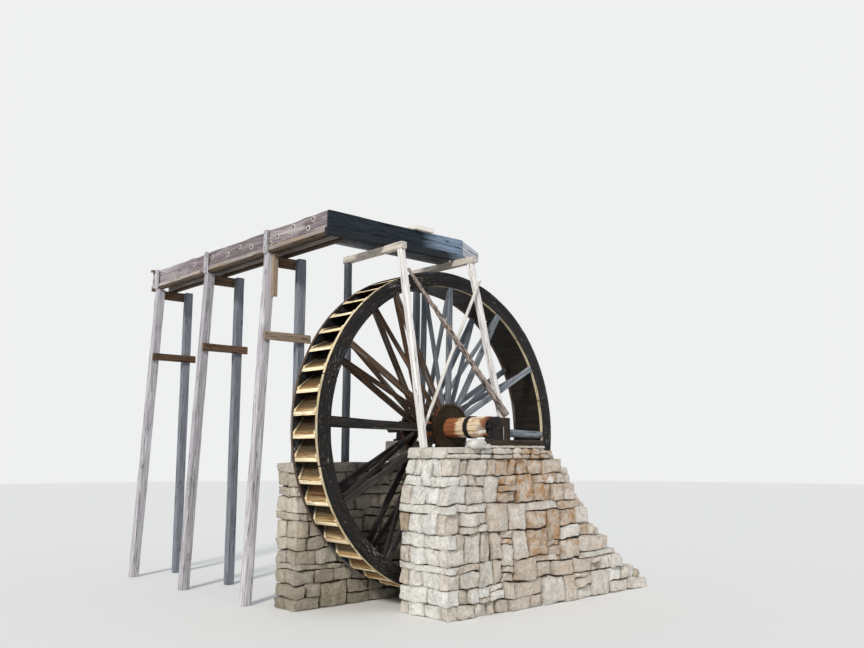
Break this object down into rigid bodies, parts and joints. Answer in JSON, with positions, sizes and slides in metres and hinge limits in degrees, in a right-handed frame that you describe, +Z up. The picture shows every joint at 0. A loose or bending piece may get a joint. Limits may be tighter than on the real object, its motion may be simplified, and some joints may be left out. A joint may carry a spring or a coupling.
{
  "type": "water wheel",
  "caption": "Overshot timber water wheel on a stone pier, with a broken wing wall, a pit wall behind it, a pole-braced trestle and an open wooden head flume on bents.",
  "frame": {"origin": "on the base level under the axle, in the middle of the front pier's top thickness", "axes": "+Z up, +X along the wheel's face towards the wing wall, +Y along the axle, from the pier towards the pit wall"},
  "size_m": [6.3161, 7.645, 6.101],
  "materials": {
    "limestone": "rough coursed rubble",
    "pit_stone": "rough, damp",
    "dark_iron": "greased and rusted",
    "hub_iron": "mossy with a rusted rim",
    "bearing_timber": "dark, wet",
    "silver_timber": "weathered silver grey",
    "bark": "round pole with bark",
    "white_pole": "peeled and bleached",
    "grey_timber": "weathered grey",
    "flume_floor": "wet, dark",
    "flume_side": "weathered, damp",
    "spout_board": "pale and wet",
    "side_flume": "weathered with pale knots",
    "sill_timber": "weathered tan",
    "brown_plank": "brown, shaded",
    "axle_timber": "orange, rust stained",
    "arm_timber": "wet brown grey",
    "shroud_timber": "dark, wet, with a pale rim",
    "sole_timber": "black, wet",
    "bucket_timber": "yellow brown, stained",
    "cleat_timber": "pale, worn"
  },
  "bodies": {
    "plant": {"pier": "limestone", "wing_wall": "limestone", "pit_wall": "pit_stone", "back_block": "pit_stone", "bearing_pad": "limestone", "bearing_beam": "bearing_timber", "front_bearing": "dark_iron", "back_bearing": "dark_iron", "left_post": "silver_timber", "right_post": "silver_timber", "inner_posts": "grey_timber", "bark_brace": "bark", "white_brace": "white_pole", "trestle_caps": "silver_timber", "run_b_sills": "flume_side", "run_b_floor": "flume_floor", "run_b_sides": "flume_side", "spout": "spout_board", "cover_board": "silver_timber", "run_a_sills": "sill_timber", "run_a_floor": "flume_floor", "run_a_sides": "side_flume", "run_a_straps": "side_flume", "run_a_end_tie": "side_flume", "outer_posts": "silver_timber", "bent_inner_posts": "grey_timber", "bent_caps": "brown_plank", "bent_girts": "brown_plank", "hanging_board": "sill_timber"},
    "wheel": {"shaft": "axle_timber", "shaft_hoops": "dark_iron", "front_gudgeon": "dark_iron", "back_gudgeon": "dark_iron", "front_hub": "hub_iron", "back_hub": "hub_iron", "front_arms": "arm_timber", "back_arms": "arm_timber", "braces_out": "arm_timber", "braces_in": "arm_timber", "front_shroud": "shroud_timber", "back_shroud": "shroud_timber", "sole_boards": "sole_timber", "buckets": "bucket_timber", "front_cleats": "cleat_timber", "back_cleats": "cleat_timber"}
  },
  "joints": [
    {"name": "wheel_spin", "type": "hinge", "parent": "plant", "child": "wheel", "pos_m": [0, 0.99, 2.75], "axis": [0, 1, 0], "continuous": true}
  ]
}
